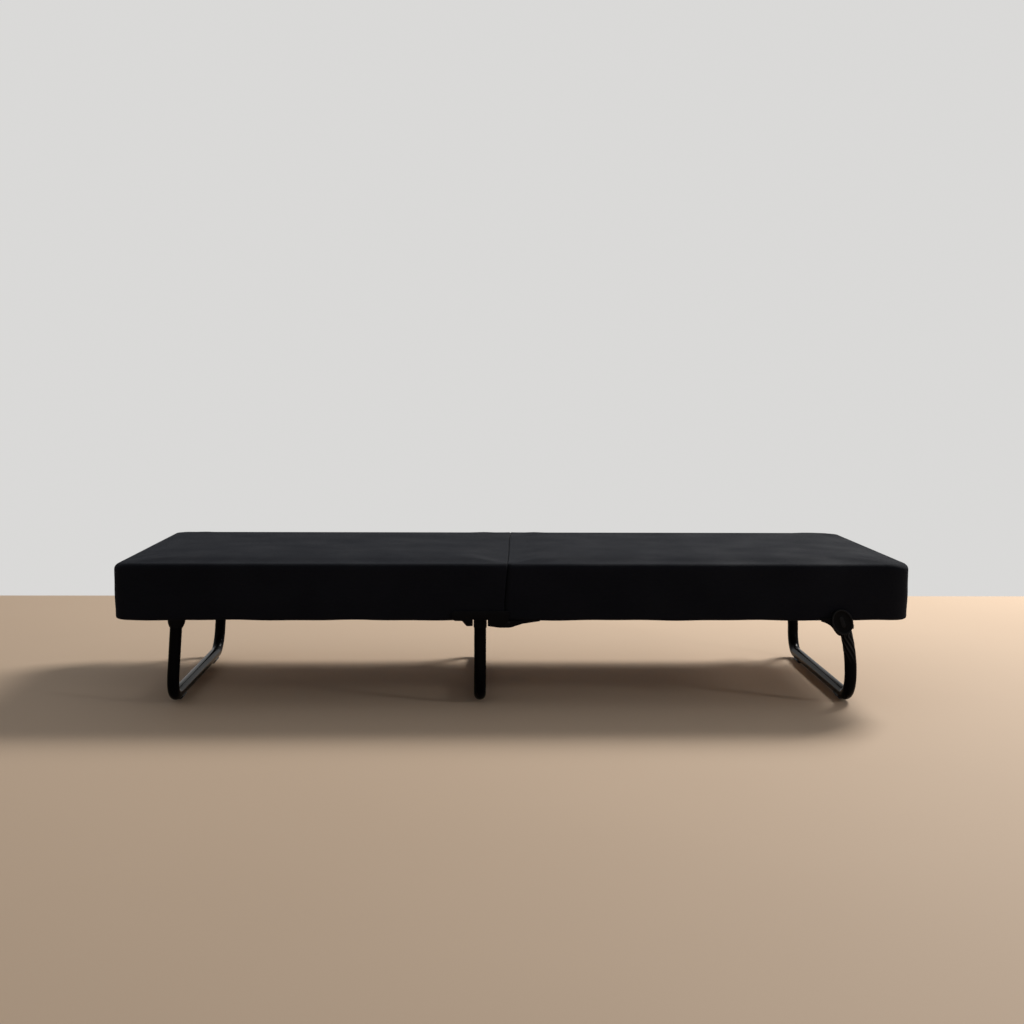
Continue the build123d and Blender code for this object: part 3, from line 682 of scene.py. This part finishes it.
def bent_tube(name, corners, radii, body, replaced, ridged=False):
    """Round tube along a filleted path: path point plus radius times (cos a side + sin a up).

    A ridged tube's radius has a low sine taken off near both ends, which turns round it once in a
    pitch. Each point's share in a crest goes to the material, for a painted highlight there.
    """
    path, length = spaced(filleted(np.array(corners), radii), path_gap)
    ahead = np.gradient(path, axis=0)
    ahead /= np.linalg.norm(ahead, axis=1, keepdims=True)
    side = np.array([1.0, 0, 0]) - ahead * ahead[:, :1]
    side /= np.linalg.norm(side, axis=1, keepdims=True)
    up = np.cross(ahead, side)
    angle = np.linspace(0, 2 * math.pi, round_points, endpoint=False)[None, :, None]
    from_end = np.minimum(length, length[-1] - length)[:, None, None]
    fade = np.clip((ridge_reach - from_end) / (ridge_reach / 3), 0, 1) * ridged
    wave = np.sin(ridge_count * (angle + 2 * math.pi * from_end / ridge_pitch))
    ridges = ridge_height * fade * (wave - 1)
    outward = np.cos(angle) * side[:, None] + np.sin(angle) * up[:, None]
    rings = path[:, None] + (tube_radius + ridges) * outward
    points = np.concatenate([rings.reshape(-1, 3), path[:1], path[-1:]])
    along = np.repeat(length, round_points)
    from_seam = np.abs(np.linspace(-1, 1, round_points, endpoint=False))
    around = np.tile(from_seam, len(path)) * math.pi * tube_radius
    uv = np.concatenate([np.stack([around, along], 1), [[0, 0], [0, length[-1]]]])
    made = add_mesh(name, points.tolist(), ring_faces(len(path), round_points), enamel, uv=uv)
    crest = (fade * np.clip(wave, 0, 1) ** 2).ravel()
    # The crest share, kept on the mesh for the painted highlight on the enamel.
    painted_highlight_share = made.data.attributes.new("crest", "FLOAT", "POINT")
    painted_highlight_share.data.foreach_set("value", np.append(crest, [0, 0]))
    split = made.modifiers.new("split", "EDGE_SPLIT")
    split.split_angle = math.radians(fold_degrees)
    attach(made, body)
    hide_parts(replaced)
    return made


def streaks(tree, across, lengthwise, twist):
    """Long streaks on the tube: noise on the tube's own map, drawn out along it and twisted."""
    place = add_node(tree, "ShaderNodeUVMap", uv_map="along").outputs[0]
    values = {"Vector": place, "Scale": (across, lengthwise, 1.0), "Rotation": (0.0, 0.0, twist)}
    return noise(tree, add_node(tree, "ShaderNodeMapping", values).outputs["Vector"], 1.0, 4.0, 0.6)


def enamel_colour(tree):
    """Near black, with a painted highlight making it greyer on the crests of the ridges."""
    plain = blend_colours(tree, streaks(tree, 60.0, 3.0, 0.0), enamel_dark, enamel_light)
    # The crests' share, where the painted highlight goes.
    crest = add_node(tree, "ShaderNodeAttribute", attribute_name="crest").outputs["Fac"]
    values = {0: crest, 6: plain, 7: (*painted_crest_highlight, 1.0)}
    return add_node(tree, "ShaderNodeMix", values, data_type="RGBA").outputs[2]


def enamel_roughness(tree):
    """Glossier and duller streaks."""
    return spread(tree, streaks(tree, 110.0, 5.0, 0.06), 0.13, 0.25)


def enamel_height(tree):
    """Long shallow ripples from the bending and the stoving."""
    return streaks(tree, 75.0, 4.0, 0.1)


enamel = finish_material("enamel", {"Specular IOR Level": 0.018}, base=enamel_colour,
                         roughness=enamel_roughness, height=enamel_height, relief=0.12 * mm)
for leg, bow in zip(leg_names, (False, False, True)):
    low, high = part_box(leg + "_tube")
    eye_low, eye_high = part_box(leg + "_bushes")
    glide_low, glide_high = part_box(leg + "_glides")
    pivot_x, pivot_z = (eye_low.x + eye_high.x) / 2, (eye_low.z + eye_high.z) / 2
    foot_x = (glide_low.x + glide_high.x) / 2
    foot_z = low.z + tube_radius
    half = high.y - tube_radius
    lean = (foot_x - pivot_x) / (pivot_z - (bow_height if bow else foot_z))
    limb = [(pivot_x + lean * (pivot_z - tube_top), tube_top)]
    if bow:
        limb.append((foot_x, bow_height))
    limb.append((foot_x, foot_z))
    route = [(x, -half, z) for x, z in limb] + [(x, half, z) for x, z in reversed(limb)]
    turns = [bow_radius] * bow + [leg_bend] * 2 + [bow_radius] * bow
    bent_tube(leg.replace("_leg", "_tube"), route, turns, leg, leg + "_tube", ridged=bow)

# Cast collars with moulded bushes on the limbs' tops, and moulded glides clipped under the feet.
collar_paint = coated("collar_paint", (0.0025, 0.0025, 0.0029), (0.0055, 0.0055, 0.0062), (0.30, 0.44),
                      cloud=16.0, relief=0.06 * mm, grain=500.0, specular_ior_level=0.04)
nylon = coated("nylon", (0.006, 0.006, 0.0065), (0.014, 0.014, 0.015), (0.42, 0.6), cloud=30.0,
               relief=0.04 * mm, grain=1500.0, specular_ior_level=0.2)
for leg in leg_names:
    show_carried([leg + "_collars"], collar_paint, split_degrees=42.0)
    show_carried([leg + "_bushes", leg + "_glides"], nylon)


# The fold hinge: welded inner plates, tapered plates of the right half, the pressed cover plates
# outside the left skirt, and blackened pins and studs with push-on rings at the pins' inner ends.

plate_paint = coated("plate_paint", (0.0014, 0.0014, 0.0018), (0.0034, 0.0034, 0.0041), (0.34, 0.50),
                     cloud=18.0, relief=0.07 * mm, grain=650.0, specular_ior_level=0.04)
black_zinc = coated("black_zinc", (0.006, 0.006, 0.007), (0.014, 0.014, 0.015), (0.34, 0.48),
                    cloud=40.0, relief=0.02 * mm, metallic=1.0)
show_carried(["hinge_inner_plates"], frame_paint, bevel=edge_bevel)
show_carried(["hinge_tapered_plates", "hinge_outer_plates"], plate_paint, bevel=edge_bevel)
show_carried(["hinge_pins", "hinge_outer_studs"], black_zinc, bevel=edge_bevel)
show_carried(["hinge_retainers"], zinc)


# The knuckle of the right leg: a painted web plate, a moulded thumb lever and the moulded oval cap
# with a raised rim, on blackened studs.

lever_plastic = coated("lever_plastic", (0.0035, 0.0035, 0.0042), (0.0080, 0.0080, 0.0090), (0.3, 0.44),
                       cloud=45.0, relief=0.04 * mm, grain=900.0)
cap_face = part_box("knuckle_caps")[1].y
cap_rim_height = 2 * mm
field_black = (0.0015, 0.0015, 0.0018)
# Painted highlight: the grey given to the cap's raised rim and rib, where light would catch them.
painted_rim_highlight = (0.0125, 0.0128, 0.0142)


def raised_share(tree):
    """One on the rim's and the rib's faces, nothing in the sunk field, by the distance out."""
    across = add_node(tree, "ShaderNodeSeparateXYZ", {"Vector": object_place(tree)}).outputs["Y"]
    low, high = cap_face - 0.9 * cap_rim_height, cap_face - 0.2 * cap_rim_height
    return spread(tree, reckon(tree, "ABSOLUTE", across), 0.0, 1.0, low, high)


def cap_colour(tree):
    """Dark in the field, with a painted highlight a little lighter on the raised parts."""
    # Noise that breaks up the painted highlight.
    painted_highlight_share = noise(tree, object_place(tree), 160.0, 4.0, 0.6)
    share = reckon(tree, "MULTIPLY", raised_share(tree), spread(tree, painted_highlight_share, 0.55, 1.0))
    return blend_colours(tree, share, field_black, painted_rim_highlight)


def cap_roughness(tree):
    """Smoother on the raised parts."""
    return spread(tree, raised_share(tree), 0.46, 0.27, 0.0, 1.0)


def cap_height(tree):
    """Fine moulded grain."""
    return noise(tree, object_place(tree), 900.0, 3.0, 0.5)


cap_plastic = finish_material("cap_plastic", {"Specular IOR Level": 0.05}, base=cap_colour,
                              roughness=cap_roughness, height=cap_height, relief=0.04 * mm)
show_carried(["knuckle_plates"], plate_paint, bevel=edge_bevel)
show_carried(["knuckle_caps"], cap_plastic, bevel=edge_bevel)
show_carried(["front_thumb_lever", "rear_thumb_lever"], lever_plastic, bevel=edge_bevel)
show_carried(["knuckle_studs", "lever_pins"], black_zinc)
